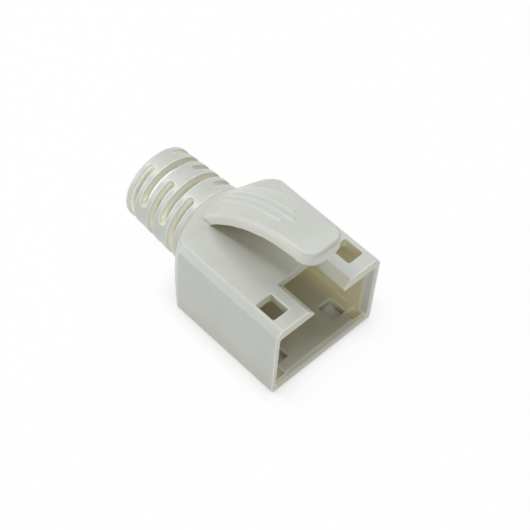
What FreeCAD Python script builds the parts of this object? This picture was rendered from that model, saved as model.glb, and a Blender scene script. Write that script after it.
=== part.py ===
import FreeCAD, Part

import math
import os

os.makedirs("parts", exist_ok=True)

# ---------------------------------------------------------------- driving dimensions (mm)
# Stations along the boot are distances from the mouth face towards the cable end.

OVERALL_LENGTH = 24.3

# plug housing
HOUSING_WIDTH = 13.6
HOUSING_HEIGHT = 9.5
HOUSING_LENGTH = 13.45
TOP_CHAMFER = 0.65
BOTTOM_RADIUS = 0.35

# shoulder and bend relief tube
TUBE_AXIS_HEIGHT = 4.6
SHOULDER_END_RADIUS = 4.5
SHOULDER_STATIONS = (0.0, 0.35, 0.7, 1.0)
SHOULDER_FULLNESS = 1.5
TUBE_START = 16.15
TUBE_ROOT_RADIUS = 4.6
TUBE_ROOT_CHAMFER = 0.15
TUBE_END_RADIUS = 4.22
TUBE_END_ROUNDING = 0.35
CORNER_HALF_ANGLE = 5.0

# plug cavity and cable bore
CAVITY_WIDTH = 11.86
CAVITY_FLOOR = 0.95
CAVITY_TOP = 8.4
CAVITY_CORNER_RADIUS = 0.3
CAVITY_DEPTH = 12.2
BORE_START = 15.2
BORE_RADIUS = 3.1
MOUTH_WIDTH = 12.8
LEAD_IN_LENGTH = 1.0
FLOOR_BEVEL_LENGTH = 0.5
FLOOR_BEVEL_DROP = 0.57
FLOOR_BEVEL_WIDTH = 12.2

# latch slot in the top wall
SLOT_LENGTH = 4.3
SLOT_LOWER_WIDTH = 3.9
SLOT_UPPER_WIDTH = 5.7
SLOT_FLARE_HEIGHT = 0.95

# windows and pockets, given as (inner side, outer side, front, rear)
TOP_WINDOW = (3.96, 5.87, 1.57, 3.85)
FLOOR_WINDOW = (3.05, 4.87, 1.7, 3.75)
FLOOR_POCKET = (4.7, 5.9, 0.49, 1.5)
FLOOR_POCKET_DEPTH = 0.3

# latch guard tongue, with (station, half width, crown) down its length
TONGUE_TIP = 0.92
TONGUE_CREST = 2.0
TONGUE_CENTRE_HEIGHT = -1.82
TONGUE_RADIUS = 17.6
TONGUE_THICKNESS = 1.4
TONGUE_TIP_HALF_WIDTH = 2.45
TONGUE_TIP_CORNER = 1.65
TONGUE_SECTIONS = (
    (-0.6, 2.45, 0.03),
    (6.0, 2.45, 0.04),
    (10.5, 2.57, 0.1),
    (14.0, 2.73, 0.28),
    (16.4, 2.75, 0.65),
)
TONGUE_EDGE_ROUNDING = 0.45

# grip ribs on the tongue, given as (offset from the centre plane, front end station)
RIBS = ((-0.8, 6.25), (0.0, 5.55), (0.8, 6.25))
RIB_REAR = 14.1
RIB_ROOT_WIDTH = 0.6
RIB_ROOT_DEPTH = 0.2
RIB_CREST_WIDTH = 0.2
RIB_RISE = 0.15

# slotted rings of the bend relief
SLOT_ROWS = 5
SLOT_ROW_START = 17.0
SLOT_ROW_PITCH = 1.465
SLOT_ROW_WIDTH = 0.77
UPRIGHT_BRIDGE_HALF_ANGLE = 17.5
LEVEL_BRIDGE_HALF_ANGLE = 19.5
LAST_ROW_FLOOR = 0.5

# ---------------------------------------------------------------- helpers

MOUTH_Y = -OVERALL_LENGTH / 2.0
CUT_MARGIN = 1.0
STRAIGHT_TOLERANCE = 1e-6
LENGTHWISE = FreeCAD.Vector(0, 1, 0)
UPWARD = FreeCAD.Vector(0, 0, 1)
SIDEWAYS = FreeCAD.Vector(1, 0, 0)


def point(x, station, z):
    """Point at a station measured from the mouth face."""
    return FreeCAD.Vector(x, MOUTH_Y + station, z)


def on_tube(radius, degrees, station):
    """Point at a radius and angle about the tube axis, angles rising from +X to +Z."""
    angle = math.radians(degrees)
    return point(radius * math.cos(angle), station, TUBE_AXIS_HEIGHT + radius * math.sin(angle))


def arc(start, middle, end):
    """Circular edge through three points, or a straight one when they line up."""
    if (middle - start).cross(end - start).Length < STRAIGHT_TOLERANCE:
        return Part.makeLine(start, end)
    return Part.Arc(start, middle, end).toShape()


def prism(points, direction):
    """Solid swept from a flat polygon along a direction."""
    outline = Part.makePolygon(points + points[:1])
    return Part.Face(outline).extrude(direction)


def block(x_low, x_high, front, rear, z_low, z_high):
    """Axis aligned block between stations."""
    corner = point(x_low, front, z_low)
    return Part.makeBox(x_high - x_low, rear - front, z_high - z_low, corner)


def mirrored_pair(shape):
    """The shape and its mirror image in the centre plane."""
    return [shape, shape.mirror(FreeCAD.Vector(0, 0, 0), SIDEWAYS)]


# ---------------------------------------------------------------- outer form


def housing_spans(station):
    """Start, middle and end of each of the eight spans around the housing outline."""
    side = HOUSING_WIDTH / 2.0
    top = HOUSING_HEIGHT
    inset = BOTTOM_RADIUS * (1.0 - math.sqrt(0.5))
    right_low = point(side, station, BOTTOM_RADIUS)
    right_high = point(side, station, top - TOP_CHAMFER)
    top_right = point(side - TOP_CHAMFER, station, top)
    top_left = point(TOP_CHAMFER - side, station, top)
    left_high = point(-side, station, top - TOP_CHAMFER)
    left_low = point(-side, station, BOTTOM_RADIUS)
    bottom_left = point(BOTTOM_RADIUS - side, station, 0.0)
    bottom_right = point(side - BOTTOM_RADIUS, station, 0.0)
    return [
        (right_low, (right_low + right_high) / 2.0, right_high),
        (right_high, (right_high + top_right) / 2.0, top_right),
        (top_right, (top_right + top_left) / 2.0, top_left),
        (top_left, (top_left + left_high) / 2.0, left_high),
        (left_high, (left_high + left_low) / 2.0, left_low),
        (left_low, point(inset - side, station, inset), bottom_left),
        (bottom_left, (bottom_left + bottom_right) / 2.0, bottom_right),
        (bottom_right, point(side - inset, station, inset), right_low),
    ]


def round_spans(station, radius):
    """The same eight spans on a circle about the tube axis, corners at the diagonals."""
    stops = []
    for diagonal in (45.0, 135.0, 225.0, 315.0):
        stops.append(diagonal - CORNER_HALF_ANGLE)
        stops.append(diagonal + CORNER_HALF_ANGLE)
    starts = [stops[-1] - 360.0] + stops[:-1]
    spans = []
    for start, end in zip(starts, stops):
        angles = (start, (start + end) / 2.0, end)
        spans.append(tuple(on_tube(radius, angle, station) for angle in angles))
    return spans


def outline(spans):
    """Closed wire through a list of spans."""
    return Part.Wire([arc(*span) for span in spans])


def housing():
    """Straight rectangular part of the boot."""
    return Part.Face(outline(housing_spans(0.0))).extrude(LENGTHWISE * HOUSING_LENGTH)


def shoulder():
    """Full-cheeked loft that turns the rectangular housing into the round tube."""
    sections = []
    for fraction in SHOULDER_STATIONS:
        station = HOUSING_LENGTH + fraction * (TUBE_START - HOUSING_LENGTH)
        square = housing_spans(station)
        circle = round_spans(station, SHOULDER_END_RADIUS)
        roundness = fraction ** SHOULDER_FULLNESS
        spans = []
        for square_span, round_span in zip(square, circle):
            pairs = zip(square_span, round_span)
            spans.append(tuple(a * (1.0 - roundness) + b * roundness for a, b in pairs))
        sections.append(outline(spans))
    return Part.makeLoft(sections, True, False)


def tube():
    """Tapered tube with a rounded end and a chamfered collar, turned about its own axis."""
    collar = TUBE_ROOT_CHAMFER
    tip = TUBE_END_ROUNDING
    bulge = tip * (1.0 - math.sqrt(0.5))
    root_centre = on_tube(0.0, 90.0, TUBE_START)
    end_centre = on_tube(0.0, 90.0, OVERALL_LENGTH)
    collar_low = on_tube(TUBE_ROOT_RADIUS - collar, 90.0, TUBE_START)
    collar_high = on_tube(TUBE_ROOT_RADIUS, 90.0, TUBE_START + collar)
    taper_end = on_tube(TUBE_END_RADIUS, 90.0, OVERALL_LENGTH - tip)
    end_middle = on_tube(TUBE_END_RADIUS - bulge, 90.0, OVERALL_LENGTH - bulge)
    end_rim = on_tube(TUBE_END_RADIUS - tip, 90.0, OVERALL_LENGTH)
    edges = [
        Part.makeLine(root_centre, collar_low),
        Part.makeLine(collar_low, collar_high),
        Part.makeLine(collar_high, taper_end),
        arc(taper_end, end_middle, end_rim),
        Part.makeLine(end_rim, end_centre),
        Part.makeLine(end_centre, root_centre),
    ]
    profile = Part.Face(Part.Wire(edges))
    return profile.revolve(root_centre, LENGTHWISE, 360.0)


# ---------------------------------------------------------------- latch guard tongue


def on_tongue(offset, radius, station):
    """Point on an arc about the tongue's bending centre, at a sideways offset."""
    turn = math.asin((station - TONGUE_CREST) / TONGUE_RADIUS)
    height = TONGUE_CENTRE_HEIGHT + radius * math.cos(turn)
    return point(offset, TONGUE_CREST + radius * math.sin(turn), height)


def tongue_section(station, half_width, crown):
    """Slice across the tongue: crowned top, straight sides, flat underside."""
    outer = TONGUE_RADIUS
    inner = TONGUE_RADIUS - TONGUE_THICKNESS
    left_top = on_tongue(-half_width, outer - crown, station)
    right_top = on_tongue(half_width, outer - crown, station)
    left_under = on_tongue(-half_width, inner, station)
    right_under = on_tongue(half_width, inner, station)
    edges = [
        arc(left_top, on_tongue(0.0, outer, station), right_top),
        Part.makeLine(right_top, right_under),
        Part.makeLine(right_under, left_under),
        Part.makeLine(left_under, left_top),
    ]
    return Part.Wire(edges)


def tongue_plan(height):
    """Outline of the tongue's squared-off round tip seen from above, open to the rear."""
    side = TONGUE_TIP_HALF_WIDTH
    corner = TONGUE_TIP_CORNER
    inset = corner * (1.0 - math.sqrt(0.5))
    wide = HOUSING_WIDTH / 2.0
    straight_end = TONGUE_TIP + corner
    front_left = point(corner - side, TONGUE_TIP, 0.0)
    front_right = point(side - corner, TONGUE_TIP, 0.0)
    side_left = point(-side, straight_end, 0.0)
    side_right = point(side, straight_end, 0.0)
    widening = straight_end + TONGUE_TIP_CORNER
    corners = [
        side_right,
        point(side, widening, 0.0),
        point(wide, widening, 0.0),
        point(wide, OVERALL_LENGTH, 0.0),
        point(-wide, OVERALL_LENGTH, 0.0),
        point(-wide, widening, 0.0),
        point(-side, widening, 0.0),
        side_left,
    ]
    edges = [
        Part.makeLine(front_left, front_right),
        arc(front_right, point(side - inset, TONGUE_TIP + inset, 0.0), side_right),
    ]
    for start, end in zip(corners[:-1], corners[1:]):
        edges.append(Part.makeLine(start, end))
    edges.append(arc(side_left, point(inset - side, TONGUE_TIP + inset, 0.0), front_left))
    return Part.Face(Part.Wire(edges)).extrude(UPWARD * height)


def tongue_top_edges(solid):
    """Edges around the upper face, leaving out the buried rear one."""
    picked = []
    rear = MOUTH_Y + TONGUE_SECTIONS[-1][0] - CUT_MARGIN / 2.0
    for edge in solid.Edges:
        spot = edge.valueAt((edge.FirstParameter + edge.LastParameter) / 2.0)
        reach = math.hypot(spot.y - (MOUTH_Y + TONGUE_CREST), spot.z - TONGUE_CENTRE_HEIGHT)
        on_upper_face = reach > TONGUE_RADIUS - TONGUE_THICKNESS / 2.0
        upright = abs(edge.tangentAt(edge.FirstParameter).z) > 0.9
        if on_upper_face and not upright and spot.y < rear:
            picked.append(edge)
    return picked


def tongue():
    """Arched latch guard that grows out of the shoulder and reaches over the latch slot."""
    slices = [tongue_section(*values) for values in TONGUE_SECTIONS]
    band = Part.makeLoft(slices, True, False)
    solid = band.common(tongue_plan(2.0 * TONGUE_RADIUS)).removeSplitter()
    return solid.makeFillet(TONGUE_EDGE_ROUNDING, tongue_top_edges(solid))


def rib(offset, front):
    """Low rib with drafted sides that follows the tongue's arch."""
    pivot = point(offset, TONGUE_CREST, TONGUE_CENTRE_HEIGHT)
    root = UPWARD * (TONGUE_RADIUS - RIB_ROOT_DEPTH)
    crest = UPWARD * (TONGUE_RADIUS + RIB_RISE)
    half_root = SIDEWAYS * (RIB_ROOT_WIDTH / 2.0)
    half_crest = SIDEWAYS * (RIB_CREST_WIDTH / 2.0)
    start_angle = math.degrees(math.asin((front - TONGUE_CREST) / TONGUE_RADIUS))
    end_angle = math.degrees(math.asin((RIB_REAR - TONGUE_CREST) / TONGUE_RADIUS))
    profile = Part.Face(Part.makePolygon([
        pivot + root - half_root,
        pivot + root + half_root,
        pivot + crest + half_crest,
        pivot + crest - half_crest,
        pivot + root - half_root,
    ]))
    profile.rotate(pivot, SIDEWAYS, -start_angle)
    return profile.revolve(pivot, -SIDEWAYS, end_angle - start_angle)


# ---------------------------------------------------------------- inner form


def cavity_section(station, width, low, high, radius):
    """Rounded rectangle the plug body slides into."""
    side = width / 2.0
    inset = radius * (1.0 - math.sqrt(0.5))
    edges = [
        Part.makeLine(point(side, station, low + radius), point(side, station, high - radius)),
        arc(
            point(side, station, high - radius),
            point(side - inset, station, high - inset),
            point(side - radius, station, high),
        ),
        Part.makeLine(point(side - radius, station, high), point(radius - side, station, high)),
        arc(
            point(radius - side, station, high),
            point(inset - side, station, high - inset),
            point(-side, station, high - radius),
        ),
        Part.makeLine(point(-side, station, high - radius), point(-side, station, low + radius)),
        arc(
            point(-side, station, low + radius),
            point(inset - side, station, low + inset),
            point(radius - side, station, low),
        ),
        Part.makeLine(point(radius - side, station, low), point(side - radius, station, low)),
        arc(
            point(side - radius, station, low),
            point(side - inset, station, low + inset),
            point(side, station, low + radius),
        ),
    ]
    return Part.Wire(edges)


def plug_cavity():
    """Straight pocket for the plug, widened into a lead-in at the mouth."""
    straight = cavity_section(0.0, CAVITY_WIDTH, CAVITY_FLOOR, CAVITY_TOP, CAVITY_CORNER_RADIUS)
    pocket = Part.Face(straight).extrude(LENGTHWISE * CAVITY_DEPTH)
    half_mouth = MOUTH_WIDTH / 2.0
    half_cavity = CAVITY_WIDTH / 2.0
    lead_in = prism(
        [
            point(-half_mouth, 0.0, CAVITY_FLOOR),
            point(half_mouth, 0.0, CAVITY_FLOOR),
            point(half_cavity, LEAD_IN_LENGTH, CAVITY_FLOOR),
            point(-half_cavity, LEAD_IN_LENGTH, CAVITY_FLOOR),
        ],
        UPWARD * (CAVITY_TOP - CAVITY_FLOOR),
    )
    half_bevel = FLOOR_BEVEL_WIDTH / 2.0
    floor_bevel = prism(
        [
            point(-half_bevel, 0.0, CAVITY_FLOOR - FLOOR_BEVEL_DROP),
            point(-half_bevel, FLOOR_BEVEL_LENGTH, CAVITY_FLOOR),
            point(-half_bevel, 0.0, CAVITY_FLOOR),
        ],
        SIDEWAYS * FLOOR_BEVEL_WIDTH,
    )
    return [pocket, lead_in, floor_bevel]


def cable_way():
    """Funnel from the plug pocket into the bore, and the bore out to the cable end."""
    sections = [
        cavity_section(CAVITY_DEPTH, CAVITY_WIDTH, CAVITY_FLOOR, CAVITY_TOP, CAVITY_CORNER_RADIUS),
        outline(round_spans(BORE_START, BORE_RADIUS)),
    ]
    funnel = Part.makeLoft(sections, True, True)
    bore_length = OVERALL_LENGTH - BORE_START + CUT_MARGIN
    bore = Part.makeCylinder(BORE_RADIUS, bore_length, on_tube(0.0, 0.0, BORE_START), LENGTHWISE)
    return [funnel, bore]


def latch_slot():
    """Slot in the top wall that lets the plug's latch rise, flared at its upper edges."""
    lower = SLOT_LOWER_WIDTH / 2.0
    upper = SLOT_UPPER_WIDTH / 2.0
    slope = (upper - lower) / SLOT_FLARE_HEIGHT
    flare_start = HOUSING_HEIGHT - SLOT_FLARE_HEIGHT
    above = HOUSING_HEIGHT + CUT_MARGIN
    widest = upper + slope * CUT_MARGIN
    below = CAVITY_TOP - CUT_MARGIN
    return prism(
        [
            point(-lower, -CUT_MARGIN, below),
            point(lower, -CUT_MARGIN, below),
            point(lower, -CUT_MARGIN, flare_start),
            point(widest, -CUT_MARGIN, above),
            point(-widest, -CUT_MARGIN, above),
            point(-lower, -CUT_MARGIN, flare_start),
        ],
        LENGTHWISE * (SLOT_LENGTH + CUT_MARGIN),
    )


def wall_openings():
    """Windows through the top and floor, and the shallow pockets beside the mouth."""
    inner, outer, front, rear = TOP_WINDOW
    middle_height = HOUSING_HEIGHT / 2.0
    top_window = block(inner, outer, front, rear, middle_height, HOUSING_HEIGHT + CUT_MARGIN)
    inner, outer, front, rear = FLOOR_WINDOW
    floor_window = block(inner, outer, front, rear, -CUT_MARGIN, middle_height)
    inner, outer, front, rear = FLOOR_POCKET
    pocket_floor = CAVITY_FLOOR - FLOOR_POCKET_DEPTH
    floor_pocket = block(inner, outer, front, rear, pocket_floor, middle_height)
    openings = mirrored_pair(top_window)
    openings += mirrored_pair(floor_window)
    openings += mirrored_pair(floor_pocket)
    return openings


# ---------------------------------------------------------------- bend relief slots


def ring_slot(front, start, end, inner):
    """Round-ended slot cut part of the way around the tube wall, down to an inner radius."""
    outer = TUBE_ROOT_RADIUS + CUT_MARGIN
    end_radius = SLOT_ROW_WIDTH / 2.0
    middle = front + end_radius
    end_turn = math.degrees(end_radius / TUBE_ROOT_RADIUS)
    first = start + end_turn
    last = end - end_turn
    profile = Part.Face(Part.makePolygon([
        on_tube(inner, first, front),
        on_tube(outer, first, front),
        on_tube(outer, first, front + SLOT_ROW_WIDTH),
        on_tube(inner, first, front + SLOT_ROW_WIDTH),
        on_tube(inner, first, front),
    ]))
    sweep = profile.revolve(on_tube(0.0, 0.0, front), -LENGTHWISE, last - first)
    parts = [sweep]
    for angle in (first, last):
        inner_spot = on_tube(inner, angle, middle)
        outward = on_tube(outer, angle, middle) - inner_spot
        parts.append(Part.makeCylinder(end_radius, outer - inner, inner_spot, outward))
    return parts


def bend_relief_slots():
    """Rows of slots whose bridges stand upright and level in turn, the last row left blind."""
    cuts = []
    for row in range(SLOT_ROWS):
        front = SLOT_ROW_START + row * SLOT_ROW_PITCH
        if row % 2 == 0:
            half_bridge = UPRIGHT_BRIDGE_HALF_ANGLE
            first_bridge = -90.0
        else:
            half_bridge = LEVEL_BRIDGE_HALF_ANGLE
            first_bridge = 0.0
        if row == SLOT_ROWS - 1:
            inner = BORE_RADIUS + LAST_ROW_FLOOR
        else:
            inner = BORE_RADIUS - CUT_MARGIN
        for bridge in (first_bridge, first_bridge + 180.0):
            cuts += ring_slot(front, bridge + half_bridge, bridge + 180.0 - half_bridge, inner)
    return cuts


# ---------------------------------------------------------------- assembly


def build_boot():
    """Fuse the outer form, then take out every opening."""
    ribs = [rib(offset, front) for offset, front in RIBS]
    outer_form = housing().fuse([shoulder(), tube(), tongue()] + ribs)
    cuts = plug_cavity() + cable_way() + [latch_slot()] + wall_openings() + bend_relief_slots()
    return outer_form.cut(cuts).removeSplitter()


def main():
    """Build, report and export the boot."""
    boot = build_boot()
    solids = boot.Solids
    box = boot.BoundBox
    print("solids", len(solids), "valid", boot.isValid())
    print("volume mm3", round(boot.Volume, 2))
    print("x", round(box.XMin, 3), round(box.XMax, 3))
    print("y", round(box.YMin, 3), round(box.YMax, 3))
    print("z", round(box.ZMin, 3), round(box.ZMax, 3))
    solids[0].exportStep("parts/boot.step")


main()
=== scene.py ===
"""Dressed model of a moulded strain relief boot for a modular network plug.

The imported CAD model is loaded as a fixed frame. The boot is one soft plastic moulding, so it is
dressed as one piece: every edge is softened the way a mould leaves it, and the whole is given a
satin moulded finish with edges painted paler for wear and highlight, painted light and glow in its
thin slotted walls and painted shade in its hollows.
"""
import logging
import math
from dataclasses import dataclass, field
from enum import Enum
from typing import Any

import bmesh
import bpy
import numpy as np
from mathutils import Matrix, Vector


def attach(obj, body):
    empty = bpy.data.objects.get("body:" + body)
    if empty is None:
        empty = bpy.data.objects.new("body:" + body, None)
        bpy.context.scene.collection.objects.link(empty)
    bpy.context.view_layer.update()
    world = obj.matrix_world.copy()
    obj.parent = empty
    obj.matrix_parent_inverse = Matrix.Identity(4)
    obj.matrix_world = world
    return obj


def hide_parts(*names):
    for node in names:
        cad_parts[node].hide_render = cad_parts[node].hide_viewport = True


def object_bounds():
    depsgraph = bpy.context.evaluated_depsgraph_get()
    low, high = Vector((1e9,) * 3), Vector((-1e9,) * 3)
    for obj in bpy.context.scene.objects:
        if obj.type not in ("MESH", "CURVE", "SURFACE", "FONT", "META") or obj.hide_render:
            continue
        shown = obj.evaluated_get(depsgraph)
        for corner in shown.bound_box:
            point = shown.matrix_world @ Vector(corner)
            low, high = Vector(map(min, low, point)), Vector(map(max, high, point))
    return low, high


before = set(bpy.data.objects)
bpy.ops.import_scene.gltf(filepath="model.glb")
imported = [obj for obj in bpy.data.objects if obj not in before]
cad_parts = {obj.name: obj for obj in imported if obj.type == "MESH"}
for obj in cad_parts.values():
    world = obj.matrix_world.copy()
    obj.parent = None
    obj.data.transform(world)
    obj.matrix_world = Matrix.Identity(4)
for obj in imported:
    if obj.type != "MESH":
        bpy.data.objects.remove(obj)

Colour = tuple[float, float, float]

MM = 0.001
LOG = logging.getLogger("boot")
RIDGE = "ridge"
BLACK: Colour = (0.0, 0.0, 0.0)
WHITE: Colour = (1.0, 1.0, 1.0)

MEAN_NOISE = 0.5

# Sockets of a Mix node that mixes colours.
MIX_FACTOR = 0
MIX_FIRST = 6
MIX_SECOND = 7
MIX_RESULT = 2

CAD_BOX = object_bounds()


class Ray(Enum):
    """Kinds of ray that see the plain white surroundings instead of the lit floor."""

    CAMERA = "Is Camera Ray"
    GLOSSY = "Is Glossy Ray"
    TRANSMISSION = "Is Transmission Ray"


# ------------------------------------------------------------------ shader maths


def opaque(colour: Colour) -> tuple[float, float, float, float]:
    """The colour as a socket takes it, with nothing showing through."""
    return colour + (1.0,)


class Value:
    """A number carried by a shader socket, with the arithmetic that the finishes use."""

    def __init__(self, graph: "Graph", socket: bpy.types.NodeSocket) -> None:
        """Wrap a socket.

        Args:
            graph: The graph that new nodes are added to.
            socket: The output socket that carries the number.
        """
        self.graph = graph
        self.socket = socket

    def _math(self, operation: str, first: Any, second: Any) -> "Value":
        """Add one Math node.

        Args:
            operation: The node's operation.
            first: The first operand.
            second: The second operand.

        Returns:
            The node's result.
        """
        node = self.graph.add("ShaderNodeMath", {"operation": operation}, {0: first, 1: second})
        return Value(self.graph, node.outputs[0])

    def __add__(self, other: Any) -> "Value":
        """Sum with a number or another value."""
        return self._math("ADD", self, other)

    def __radd__(self, other: Any) -> "Value":
        """Sum with a number on the left."""
        return self._math("ADD", other, self)

    def __sub__(self, other: Any) -> "Value":
        """Difference from a number or another value."""
        return self._math("SUBTRACT", self, other)

    def __rsub__(self, other: Any) -> "Value":
        """Difference of a number on the left."""
        return self._math("SUBTRACT", other, self)

    def __mul__(self, other: Any) -> "Value":
        """Product with a number or another value."""
        return self._math("MULTIPLY", self, other)

    def __rmul__(self, other: Any) -> "Value":
        """Product with a number on the left."""
        return self._math("MULTIPLY", other, self)

    def size(self) -> "Value":
        """The value without its sign."""
        return self._math("ABSOLUTE", self, 0.0)

    def larger(self, other: Any) -> "Value":
        """The larger of this and another value."""
        return self._math("MAXIMUM", self, other)

    def band(self, low: float, high: float) -> "Value":
        """Rise smoothly from 0 to 1 between two levels.

        Args:
            low: Level at which the result leaves 0.
            high: Level at which the result reaches 1.

        Returns:
            The remapped value.
        """
        settings = {"interpolation_type": "SMOOTHSTEP"}
        inputs = {"Value": self, "From Min": low, "From Max": high}
        node = self.graph.add("ShaderNodeMapRange", settings, inputs)
        return Value(self.graph, node.outputs["Result"])


class Graph:
    """Node tree of one material or world, built up by short calls."""

    def __init__(self, tree: bpy.types.NodeTree) -> None:
        """Start from an empty tree.

        Args:
            tree: The node tree to clear and fill.
        """
        self.tree = tree
        self.tree.nodes.clear()

    def add(
        self,
        kind: str,
        settings: dict[str, Any] | None = None,
        inputs: dict[int | str, Any] | None = None,
    ) -> bpy.types.Node:
        """Add a node, set its options, then its sockets.

        Args:
            kind: Type name of the node.
            settings: Options of the node, by attribute name.
            inputs: Values or links, by socket name or index.

        Returns:
            The new node.
        """
        node = self.tree.nodes.new(kind)
        for name, value in (settings or {}).items():
            setattr(node, name, value)
        for key, value in (inputs or {}).items():
            socket = node.inputs[key]
            if isinstance(value, Value):
                self.tree.links.new(value.socket, socket)
            elif isinstance(value, bpy.types.NodeSocket):
                self.tree.links.new(value, socket)
            else:
                socket.default_value = value
        return node

    def where(self) -> bpy.types.NodeSocket:
        """Position in the axes of the object that is shaded."""
        return self.add("ShaderNodeTexCoord").outputs["Object"]

    def parts(self, vector: bpy.types.NodeSocket) -> tuple[Value, ...]:
        """Split a vector into its three numbers.

        Args:
            vector: Socket that carries the vector.

        Returns:
            The numbers along X, Y and Z.
        """
        split = self.add("ShaderNodeSeparateXYZ", None, {"Vector": vector})
        return tuple(Value(self, split.outputs[axis]) for axis in "XYZ")

    def noise(self, where: bpy.types.NodeSocket, size: float, detail: float) -> Value:
        """Soft noise with features of a given size.

        Args:
            where: Position to read the noise at.
            size: Size of a feature in metres.
            detail: Number of finer layers.

        Returns:
            Noise from about 0 to 1.
        """
        inputs = {"Vector": where, "Scale": 1.0 / size, "Detail": detail}
        return Value(self, self.add("ShaderNodeTexNoise", None, inputs).outputs["Fac"])

    def openness(self, reach: float, rays: int) -> Value:
        """How open a spot is to its surroundings.

        Args:
            reach: Distance within which other surfaces count.
            rays: Number of rays to feel with.

        Returns:
            1 for a spot in the open, 0 for one that is closed in.
        """
        node = self.add("ShaderNodeAmbientOcclusion", {"samples": rays}, {"Distance": reach})
        return Value(self, node.outputs["AO"])

    def blend(self, amount: Any, first: Any, second: Any) -> bpy.types.NodeSocket:
        """Mix two colours.

        Args:
            amount: 0 for the first colour, 1 for the second.
            first: The first colour or a link to one.
            second: The second colour or a link to one.

        Returns:
            The mixed colour's socket.
        """
        inputs = {MIX_FACTOR: amount, MIX_FIRST: first, MIX_SECOND: second}
        return self.add("ShaderNodeMix", {"data_type": "RGBA"}, inputs).outputs[MIX_RESULT]


# ------------------------------------------------------------------ finishes


@dataclass(frozen=True)
class Regions:
    """Masks of the moulding's regions, each 1 within and 0 outside."""

    tube: Value
    inside: Value
    side_wall: Value
    thin_edge: Value


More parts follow.
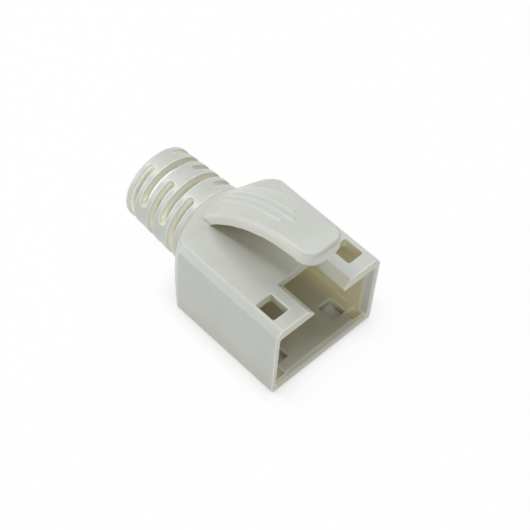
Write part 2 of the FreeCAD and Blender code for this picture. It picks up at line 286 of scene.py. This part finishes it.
@dataclass(frozen=True)
class SatinPlastic:
    """Soft moulded plastic, satin skin, edges paler (wear, painted highlight), painted light and shade."""

    name: str = "satin_moulded_plastic"

    body: Colour = (0.53, 0.547, 0.505)
    mottle_lift: float = 1.035
    # Painted warm shade for the inside of the housing.
    painted_inside_shade: Colour = (0.525, 0.511, 0.415)
    # Painted shade where other surfaces close in.
    shaded: Colour = (0.50, 0.48, 0.375)
    # Painted light: paler, warmer colour in the slots and at thin edges.
    painted_through_light: Colour = (0.78, 0.775, 0.71)
    # Edges paler: partly wear, partly painted highlight.
    rubbed_and_highlit: Colour = (0.63, 0.64, 0.61)
    # Painted glow, emitted by no lamp: in the slots and on the housing's inner side walls.
    painted_slot_glow: Colour = (0.29, 0.287, 0.235)
    painted_wall_glow: Colour = (0.085, 0.072, 0.022)

    # Region bounds for the painted light, glow and warm inside shade.
    tube_start: float = 3.6 * MM
    tube_blur: float = 0.6 * MM
    inside_half_width: float = 6.0 * MM
    inside_end: float = 1.2 * MM
    inside_floor: float = 0.2 * MM
    inside_height: float = 9.3 * MM
    side_wall_start: float = 4.0 * MM
    rim_end: float = -12.0 * MM
    guard_start: float = 9.9 * MM
    blur: float = 0.1 * MM

    mottle_size: float = 2.4 * MM
    mottle_detail: float = 3.0
    mottle_band: tuple[float, float] = (0.35, 0.65)
    speck_size: float = 0.35 * MM
    speck_detail: float = 2.0
    grain_size: float = 0.25 * MM
    ripple_size: float = 1.3 * MM
    relief_detail: float = 1.0
    grain_share: float = 0.25
    relief_strength: float = 0.12
    relief_depth: float = 0.02 * MM

    # Openness masks: painted shade where surfaces close in, painted light in the slots.
    feelers: int = 8
    shade_reach: float = 7.0 * MM
    shade_band: tuple[float, float] = (0.25, 0.75)
    slot_reach: float = 2.0 * MM
    slot_band: tuple[float, float] = (0.35, 0.8)
    level_band: tuple[float, float] = (0.3, 0.8)
    edge_band: tuple[float, float] = (0.015, 0.06)
    # Shares of the paler edges (wear and painted highlight) and of painted light at edges.
    edge_wear_and_highlight: float = 0.4
    edge_light: float = 0.26

    roughness: float = 0.32
    mottle_roughness: float = 0.06
    speck_roughness: float = 0.04
    edge_roughness: float = 0.05
    refraction: float = 1.48

    def material(self) -> bpy.types.Material:
        """Make the finish's material.

        Returns:
            The node material.
        """
        material = bpy.data.materials.new(self.name)
        material.use_nodes = True
        graph = Graph(material.node_tree)
        where = graph.where()
        mottle = graph.noise(where, self.mottle_size, self.mottle_detail)
        speck = graph.noise(where, self.speck_size, self.speck_detail)
        ridge = Value(graph, graph.add("ShaderNodeAttribute", {"attribute_name": RIDGE}).outputs["Fac"])
        edge = ridge.band(*self.edge_band)
        regions = self._regions(graph, where)
        # thin is the share of painted through-light, for the slots and the thin edges.
        thin = self._painted_light_share(graph, regions, edge)
        colour = self._base_colour(graph, regions, mottle)
        # Painted light: slots and thin edges take the paler through-light colour.
        colour = graph.blend(thin, colour, opaque(self.painted_through_light))
        # Edges painted paler, partly as wear and partly as highlight.
        colour = graph.blend(edge * (self.edge_wear_and_highlight + self.edge_wear_and_highlight * speck), colour, opaque(self.rubbed_and_highlit))
        shader = graph.add("ShaderNodeBsdfPrincipled", None, {
            "Base Color": colour,
            "Roughness": self._roughness(mottle, speck, edge),
            "IOR": self.refraction,
            # Painted glow from emission, standing in for light through thin walls.
            "Emission Color": self._painted_glow(graph, regions, thin),
            "Emission Strength": 1.0,
            "Normal": self._relief(graph, where),
        })
        graph.add("ShaderNodeOutputMaterial", None, {"Surface": shader.outputs[0]})
        return material

    def _past(self, value: Value, level: float) -> Value:
        """Mask that is 1 where a value is past a level, with a short soft start."""
        return value.band(level, level + self.blur)

    def _regions(self, graph: Graph, where: bpy.types.NodeSocket) -> Regions:
        """Mark off the moulding's regions by place and by which way the surface faces.

        Args:
            graph: The graph that the nodes are added to.
            where: Position on the moulding.

        Returns:
            The regions' masks.
        """
        across, along, height = graph.parts(where)
        across = across.size()
        inside = 1.0 - self._past(across, self.inside_half_width)
        inside = inside * (1.0 - self._past(along, self.inside_end))
        inside = inside * (1.0 - self._past(height, self.inside_height))
        inside = inside * self._past(height, self.inside_floor)
        facing = graph.add("ShaderNodeNewGeometry").outputs["Normal"]
        level = graph.parts(facing)[2].size().band(*self.level_band)
        guard_side = self._past(height, self.guard_start) * (1.0 - level)
        rim = 1.0 - self._past(along, self.rim_end)
        return Regions(
            tube=along.band(self.tube_start, self.tube_start + self.tube_blur),
            inside=inside,
            # side_wall carries the painted glow, thin_edge the painted light.
            side_wall=inside * across.band(self.side_wall_start, self.inside_half_width),
            thin_edge=rim.larger(guard_side),
        )

    def _painted_light_share(self, graph: Graph, regions: Regions, edge: Value) -> Value:
        """Share of painted through-light: most in the slots, less at thin edges and the tube's ridges.

        Args:
            graph: The graph that the nodes are added to.
            regions: The regions' masks.
            edge: Mask of the sharp edges.

        Returns:
            The share of painted light, from 0 to 1.
        """
        # Painted light in the slots, and at thin edges and the tube's ridges.
        slot = (1.0 - graph.openness(self.slot_reach, self.feelers)).band(*self.slot_band) * regions.tube
        return slot.larger(self.edge_light * regions.thin_edge.larger(edge * regions.tube))

    def _base_colour(self, graph: Graph, regions: Regions, mottle: Value) -> bpy.types.NodeSocket:
        """Mottled body colour with painted shade, warm inside the housing and where other surfaces close
        in.

        Args:
            graph: The graph that the nodes are added to.
            regions: The regions' masks.
            mottle: The slow variation of the colour.

        Returns:
            The colour's socket.
        """
        pale = tuple(channel * self.mottle_lift for channel in self.body)
        colour = graph.blend(mottle.band(*self.mottle_band), opaque(self.body), opaque(pale))
        # Painted warm shade inside the housing.
        colour = graph.blend(regions.inside, colour, opaque(self.painted_inside_shade))
        # Painted shade where other surfaces close in, outside the housing.
        shade = (1.0 - graph.openness(self.shade_reach, self.feelers)).band(*self.shade_band)
        return graph.blend(shade * (1.0 - regions.inside), colour, opaque(self.shaded))

    def _roughness(self, mottle: Value, speck: Value, edge: Value) -> Value:
        """Roughness that varies with the mottle and the specks and rises at worn edges.

        Args:
            mottle: The slow variation.
            speck: The fine variation.
            edge: Mask of the sharp edges.

        Returns:
            The roughness.
        """
        slow = self.mottle_roughness * (mottle - MEAN_NOISE)
        fine = self.speck_roughness * (speck - MEAN_NOISE)
        return self.roughness + slow + fine + self.edge_roughness * edge

    def _painted_glow(self, graph: Graph, regions: Regions, thin: Value) -> bpy.types.NodeSocket:
        """Painted glow on the slotted walls and the housing's side walls, as if light came through.

        Args:
            graph: The graph that the nodes are added to.
            regions: The regions' masks.
            thin: Share of painted through-light at a spot.

        Returns:
            The glow's socket.
        """
        # Painted glow: emission in the slots and on the housing's inner side walls.
        glow = graph.blend(thin, opaque(BLACK), opaque(self.painted_slot_glow))
        return graph.blend(regions.side_wall, glow, opaque(self.painted_wall_glow))

    def _relief(self, graph: Graph, where: bpy.types.NodeSocket) -> bpy.types.NodeSocket:
        """Fine grain over slow ripples, as a mould leaves them.

        Args:
            graph: The graph that the nodes are added to.
            where: Position on the moulding.

        Returns:
            The bumped normal's socket.
        """
        grain = graph.noise(where, self.grain_size, self.relief_detail)
        ripple = graph.noise(where, self.ripple_size, self.relief_detail)
        bump = graph.add("ShaderNodeBump", None, {
            "Strength": self.relief_strength,
            "Distance": self.relief_depth,
            "Height": grain * self.grain_share + ripple,
        })
        return bump.outputs["Normal"]


@dataclass(frozen=True)
class WhiteFloor:
    """Plain white table that keeps a pale shadow around the object and a dark one under it."""

    name: str = "white_table"
    colour: Colour = (0.8, 0.8, 0.8)
    shadow_share: float = 0.02
    contact_share: float = 0.9
    contact_reach: float = 4.0 * MM
    feelers: int = 16
    lit_side: float = -9.0 * MM
    dark_side: float = -6.0 * MM
    lit_side_shadow: float = 0.05
    housing_end: float = 2.0 * MM
    tube_start: float = 6.0 * MM
    cover_length: float = 13.0 * MM
    cover_inset: float = 0.3 * MM

    def material(self) -> bpy.types.Material:
        """Make the floor's material.

        Returns:
            The node material.
        """
        material = bpy.data.materials.new(self.name)
        material.use_nodes = True
        graph = Graph(material.node_tree)
        lit = graph.add("ShaderNodeBsdfDiffuse", None, {"Color": opaque(self.colour)})
        plain = graph.add("ShaderNodeEmission", None, {"Color": opaque(WHITE), "Strength": 1.0})
        across, along, _ = graph.parts(graph.where())
        enclosed = 1.0 - graph.openness(self.contact_reach, self.feelers)
        contact = enclosed * self._away_from_light(across, along)
        share = self.shadow_share + self.contact_share * contact
        seen = seen_directly(graph) * (1.0 - share) * (1.0 - self._cover(across, along))
        mix = graph.add("ShaderNodeMixShader", None, {0: seen, 1: lit.outputs[0], 2: plain.outputs[0]})
        graph.add("ShaderNodeOutputMaterial", None, {"Surface": mix.outputs[0]})
        return material

    def _away_from_light(self, across: Value, along: Value) -> Value:
        """Strength of the contact shadow, weak beside the tube and on the side that faces the light.

        Args:
            across: Position on the table from left to right.
            along: Position on the table from front to back.

        Returns:
            A small share there, 1 on the dark side of the housing.
        """
        right = across.band(self.lit_side, self.dark_side)
        front = 1.0 - along.band(self.housing_end, self.tube_start)
        return self.lit_side_shadow + (1.0 - self.lit_side_shadow) * right * front

    def _cover(self, across: Value, along: Value) -> Value:
        """Mask of the table under the housing, which shows dark through its floor windows.

        Args:
            across: Position on the table from left to right.
            along: Position on the table from front to back.

        Returns:
            1 under the housing, 0 elsewhere.
        """
        low, high = CAD_BOX
        half_width = (high[0] - low[0]) / 2.0 - self.cover_inset
        half_length = self.cover_length / 2.0
        from_middle = (along - (low[1] + half_length)).size()
        inside = 1.0 - across.size().band(half_width - self.cover_inset, half_width)
        return inside * (1.0 - from_middle.band(half_length - self.cover_inset, half_length))


def seen_directly(graph: Graph) -> Value:
    """Mask that is 1 for the rays that look at the background.

    Args:
        graph: The graph that the nodes are added to.

    Returns:
        The mask.
    """
    path = graph.add("ShaderNodeLightPath")
    camera, glossy, transmission = (Value(graph, path.outputs[ray.value]) for ray in Ray)
    return camera.larger(glossy).larger(transmission)


# ------------------------------------------------------------------ the moulding


@dataclass
class BootMoulding:
    """The boot itself: one piece from the plug mouth to the end of the bend relief."""

    node: str = "boot"
    name: str = "boot_moulding"
    finish: SatinPlastic = field(default_factory=SatinPlastic)
    weld_distance: float = 0.0005 * MM
    skin_step: float = 0.08 * MM
    softening: float = 0.5
    softening_passes: int = 3
    ridge_passes: int = 2
    face_share: float = 0.26
    box_margin: float = 0.0001 * MM

    def build(self) -> bpy.types.Object:
        """Copy the CAD form and soften its edges as a moulding's are.

        Returns:
            The new piece.
        """
        mesh = self._welded_copy()
        piece = bpy.data.objects.new(self.name, mesh)
        bpy.context.scene.collection.objects.link(piece)
        skin = piece.modifiers.new("skin", "REMESH")
        skin.mode = "VOXEL"
        skin.voxel_size = self.skin_step
        soften = piece.modifiers.new("soften", "SMOOTH")
        soften.factor = self.softening
        soften.iterations = self.softening_passes
        self._settle(piece)
        self._mark_ridges(piece.data)
        thin = piece.modifiers.new("thin", "DECIMATE")
        thin.ratio = self.face_share
        self._settle(piece)
        self._keep_in_box(piece.data)
        for polygon in piece.data.polygons:
            polygon.use_smooth = True
        return piece

    def dress(self, piece: bpy.types.Object) -> None:
        """Give the piece its finish and its place on the frame.

        Args:
            piece: The built piece.
        """
        piece.data.materials.clear()
        piece.data.materials.append(self.finish.material())
        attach(piece, "root")
        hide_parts(self.node)

    def _welded_copy(self) -> bpy.types.Mesh:
        """Copy the CAD mesh with its split corners joined.

        Returns:
            The joined mesh.
        """
        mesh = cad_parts[self.node].data.copy()
        mesh.name = self.name
        work = bmesh.new()
        work.from_mesh(mesh)
        bmesh.ops.remove_doubles(work, verts=work.verts, dist=self.weld_distance)
        work.to_mesh(mesh)
        work.free()
        return mesh

    def _mark_ridges(self, mesh: bpy.types.Mesh) -> None:
        """Store how sharply the surface bulges at each corner, for the finish to read.

        Args:
            mesh: The softened mesh, with corners about one skin step apart.
        """
        count = len(mesh.vertices)
        places = np.empty(count * 3, dtype=np.float32)
        mesh.vertices.foreach_get("co", places)
        places = places.reshape(count, 3)
        normals = np.empty(count * 3, dtype=np.float32)
        mesh.vertex_normals.foreach_get("vector", normals)
        normals = normals.reshape(count, 3)
        pairs = np.empty(len(mesh.edges) * 2, dtype=np.int32)
        mesh.edges.foreach_get("vertices", pairs)
        starts, ends = pairs.reshape(-1, 2).T
        both = np.concatenate((starts, ends))
        others = np.concatenate((ends, starts))
        neighbours = np.maximum(np.bincount(both, minlength=count), 1)

        def around(values: np.ndarray) -> np.ndarray:
            """Mean of a value over each corner's neighbours."""
            return np.bincount(both, weights=values[others], minlength=count) / neighbours

        middle = np.stack([around(places[:, axis]) for axis in range(3)], axis=1)
        bulge = ((places - middle) * normals).sum(axis=1) / self.skin_step
        for _ in range(self.ridge_passes):
            bulge = (bulge + around(bulge)) / 2.0
        attribute = mesh.attributes.new(RIDGE, "FLOAT", "POINT")
        attribute.data.foreach_set("value", bulge.astype(np.float32))

    def _keep_in_box(self, mesh: bpy.types.Mesh) -> None:
        """Hold every corner inside the CAD model's box.

        Args:
            mesh: The finished mesh, in the frame's own axes.
        """
        places = np.empty(len(mesh.vertices) * 3, dtype=np.float32)
        mesh.vertices.foreach_get("co", places)
        low, high = (np.array(corner) for corner in CAD_BOX)
        inner = np.clip(places.reshape(-1, 3), low + self.box_margin, high - self.box_margin)
        mesh.vertices.foreach_set("co", inner.astype(np.float32).ravel())
        mesh.update()

    def _settle(self, piece: bpy.types.Object) -> None:
        """Apply the piece's modifiers.

        Args:
            piece: The piece whose modifiers become its mesh.
        """
        state = bpy.context.evaluated_depsgraph_get()
        finished = bpy.data.meshes.new_from_object(piece.evaluated_get(state))
        piece.modifiers.clear()
        piece.data = finished


# ------------------------------------------------------------------ studio


@dataclass(frozen=True)
class Lamp:
    """One square soft lamp aimed at the object, with angles in degrees and its power in watts."""

    name: str
    bearing: float
    height_angle: float
    distance: float
    side: float
    power: float

    def build(self, target: Vector) -> None:
        """Hang the lamp.

        Args:
            target: Point that the lamp faces.
        """
        light = bpy.data.lights.new(self.name, "AREA")
        light.shape = "SQUARE"
        light.size = self.side
        light.energy = self.power
        lamp = bpy.data.objects.new(self.name, light)
        bpy.context.scene.collection.objects.link(lamp)
        bearing = math.radians(self.bearing)
        rise = math.radians(self.height_angle)
        level = math.cos(rise)
        away = Vector((math.sin(bearing) * level, math.cos(bearing) * level, math.sin(rise)))
        lamp.location = target + away * self.distance
        lamp.rotation_euler = away.to_track_quat("Z", "Y").to_euler()


@dataclass
class Studio:
    """White table, white surroundings, a small key lamp and five large soft ones."""

    table_side: float = 1.2
    surroundings: Colour = (0.97, 0.985, 1.0)
    surroundings_strength: float = 0.02
    lamps: tuple[Lamp, ...] = (
        Lamp("key_lamp", bearing=-20.0, height_angle=52.0, distance=0.35, side=0.06, power=0.29),
        Lamp("overhead_softbox", bearing=30.0, height_angle=74.0, distance=0.40, side=0.30, power=0.80),
        Lamp("rear_left_softbox", bearing=-45.0, height_angle=20.0, distance=0.40, side=0.20, power=0.50),
        Lamp("front_left_softbox", bearing=-133.0, height_angle=20.0, distance=0.40, side=0.20, power=0.46),
        Lamp("right_softbox", bearing=88.0, height_angle=40.0, distance=0.40, side=0.25, power=0.46),
        Lamp("front_softbox", bearing=180.0, height_angle=30.0, distance=0.40, side=0.25, power=0.10),
    )

    def build(self) -> None:
        """Lay the table, set the surroundings and hang the lamps."""
        low, high = CAD_BOX
        centre = (Vector(low) + Vector(high)) / 2.0
        self._table(low[2])
        self._surroundings()
        for lamp in self.lamps:
            lamp.build(centre)

    def _table(self, height: float) -> None:
        """Lay the table top.

        Args:
            height: Height of its surface.
        """
        half = self.table_side / 2.0
        outline = ((-half, -half), (half, -half), (half, half), (-half, half))
        corners = [(x, y, height) for x, y in outline]
        mesh = bpy.data.meshes.new("table_top")
        mesh.from_pydata(corners, [], [(0, 1, 2, 3)])
        mesh.materials.append(WhiteFloor().material())
        table = bpy.data.objects.new("table_top", mesh)
        bpy.context.scene.collection.objects.link(table)

    def _surroundings(self) -> None:
        """Light everything evenly from a white room that looks plain white."""
        world = bpy.data.worlds.new("white_room")
        world.use_nodes = True
        bpy.context.scene.world = world
        graph = Graph(world.node_tree)
        glow = {"Color": opaque(self.surroundings), "Strength": self.surroundings_strength}
        room = graph.add("ShaderNodeBackground", None, glow)
        plain = graph.add("ShaderNodeBackground", None, {"Color": opaque(WHITE), "Strength": 1.0})
        mix = graph.add("ShaderNodeMixShader", None, {
            0: seen_directly(graph),
            1: room.outputs[0],
            2: plain.outputs[0],
        })
        graph.add("ShaderNodeOutputWorld", None, {"Surface": mix.outputs[0]})


@dataclass
class Viewpoint:
    """Camera that looks down on the open mouth from the front left, with angles in degrees."""

    azimuth: float = -48.13
    elevation: float = 52.32
    roll: float = 5.33
    distance: float = 141.8 * MM
    focal_length: float = 98.3
    sensor_width: float = 36.0
    target: tuple[float, float, float] = (1.09 * MM, -2.68 * MM, 4.0 * MM)
    nearest: float = 10.0 * MM

    def build(self) -> None:
        """Set up the scene's camera."""
        azimuth = math.radians(self.azimuth)
        elevation = math.radians(self.elevation)
        roll = math.radians(self.roll)
        level = math.cos(elevation)
        back = Vector((math.sin(azimuth) * level, -math.cos(azimuth) * level, math.sin(elevation)))
        right = Vector((math.cos(azimuth), math.sin(azimuth), 0.0))
        up = back.cross(right)
        rolled_right = right * math.cos(roll) + up * math.sin(roll)
        rolled_up = up * math.cos(roll) - right * math.sin(roll)
        data = bpy.data.cameras.new("camera")
        data.sensor_width = self.sensor_width
        data.lens = self.focal_length
        data.clip_start = self.nearest
        camera = bpy.data.objects.new("camera", data)
        bpy.context.scene.collection.objects.link(camera)
        turn = Matrix((rolled_right, rolled_up, back)).transposed()
        place = Vector(self.target) + back * self.distance
        camera.matrix_world = Matrix.Translation(place) @ turn.to_4x4()
        bpy.context.scene.camera = camera


def main() -> None:
    """Build the boot, then the studio around it."""
    logging.basicConfig(level=logging.INFO)
    moulding = BootMoulding()
    piece = moulding.build()
    moulding.dress(piece)
    piece.data.calc_loop_triangles()
    LOG.info("%s: %d triangles", piece.name, len(piece.data.loop_triangles))
    Studio().build()
    Viewpoint().build()
    bpy.context.scene.view_settings.view_transform = "Standard"


if __name__ == "__main__":
    main()
